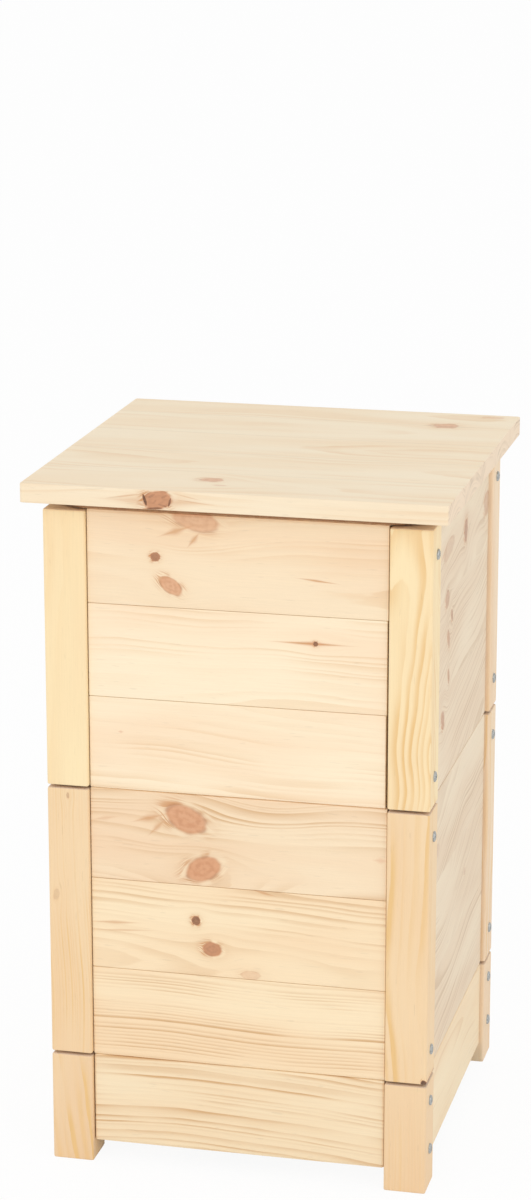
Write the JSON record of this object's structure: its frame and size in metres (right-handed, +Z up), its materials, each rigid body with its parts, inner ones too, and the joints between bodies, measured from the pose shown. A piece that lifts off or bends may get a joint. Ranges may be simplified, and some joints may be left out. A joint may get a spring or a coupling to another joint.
{
  "type": "wormery",
  "caption": "Wooden worm composter: legged base with a lift-out drip tray, stacking cloth-lined boxes, a coir cover mat and a loose overhanging lid.",
  "frame": {"origin": "on the floor, under the middle of the stack", "axes": "+X to the right seen from the front, +Y to the back, +Z up; the tongued boards of the front wall face -Y"},
  "size_m": [0.436, 0.436, 0.736],
  "materials": {
    "pine_boards": "planed, unfinished pine",
    "pine_posts": "planed, unfinished pine",
    "pine_lid": "planed, unfinished pine",
    "inner_laths": "sawn, unfinished pine",
    "liner_cloth": "black non-woven cloth",
    "tray_plastic": "moulded, satin",
    "coir": "pressed coconut fibre",
    "zinc_screws": "zinc plated"
  },
  "bodies": {
    "base": {"base_leg_front_left": "pine_posts", "base_leg_front_right": "pine_posts", "base_leg_back_right": "pine_posts", "base_leg_back_left": "pine_posts", "base_board_front": "pine_boards", "base_board_right": "pine_boards", "base_board_back": "pine_boards", "base_board_left": "pine_boards", "tray_bearer_left": "inner_laths", "tray_bearer_right": "inner_laths", "corner_batten_front_left": "inner_laths", "corner_batten_front_right": "inner_laths", "corner_batten_back_right": "inner_laths", "corner_batten_back_left": "inner_laths"},
    "tray": {"drip_tray": "tray_plastic"},
    "lower_box": {"lower_post_front_left": "pine_posts", "lower_post_front_right": "pine_posts", "lower_post_back_right": "pine_posts", "lower_post_back_left": "pine_posts", "lower_front_board_bottom": "pine_boards", "lower_front_board_middle": "pine_boards", "lower_front_board_top": "pine_boards", "lower_back_board_bottom": "pine_boards", "lower_back_board_middle": "pine_boards", "lower_back_board_top": "pine_boards", "lower_side_panel_left": "pine_boards", "lower_side_panel_right": "pine_boards", "lower_floor_cleat_left": "inner_laths", "lower_floor_cleat_right": "inner_laths", "lower_floor_slat_1": "inner_laths", "lower_floor_slat_2": "inner_laths", "lower_floor_slat_3": "inner_laths", "lower_floor_slat_4": "inner_laths", "lower_floor_slat_5": "inner_laths", "lower_liner": "liner_cloth"},
    "upper_box": {"upper_post_front_left": "pine_posts", "upper_post_front_right": "pine_posts", "upper_post_back_right": "pine_posts", "upper_post_back_left": "pine_posts", "upper_front_board_bottom": "pine_boards", "upper_front_board_middle": "pine_boards", "upper_front_board_top": "pine_boards", "upper_back_board_bottom": "pine_boards", "upper_back_board_middle": "pine_boards", "upper_back_board_top": "pine_boards", "upper_side_panel_left": "pine_boards", "upper_side_panel_right": "pine_boards", "upper_floor_cleat_left": "inner_laths", "upper_floor_cleat_right": "inner_laths", "upper_floor_slat_1": "inner_laths", "upper_floor_slat_2": "inner_laths", "upper_floor_slat_3": "inner_laths", "upper_floor_slat_4": "inner_laths", "upper_floor_slat_5": "inner_laths", "upper_liner": "liner_cloth"},
    "mat": {"coir_mat": "coir"},
    "cover": {"lid": "pine_lid"}
  },
  "joints": [
    {"name": "tray_lift", "type": "slide", "parent": "base", "child": "tray", "axis": [0, 0, -1], "range_m": [-0.12, 0]},
    {"name": "lower_box_lift", "type": "slide", "parent": "tray", "child": "lower_box", "axis": [0, 0, 1], "range_m": [0, 0.17]},
    {"name": "upper_box_lift", "type": "slide", "parent": "lower_box", "child": "upper_box", "axis": [0, 0, 1], "range_m": [0, 0.115]},
    {"name": "mat_lift", "type": "slide", "parent": "upper_box", "child": "mat", "axis": [0, 0, 1], "range_m": [0, 0.071]},
    {"name": "lid_lift", "type": "slide", "parent": "mat", "child": "cover", "axis": [0, 0, 1], "range_m": [0, 0.076]}
  ]
}
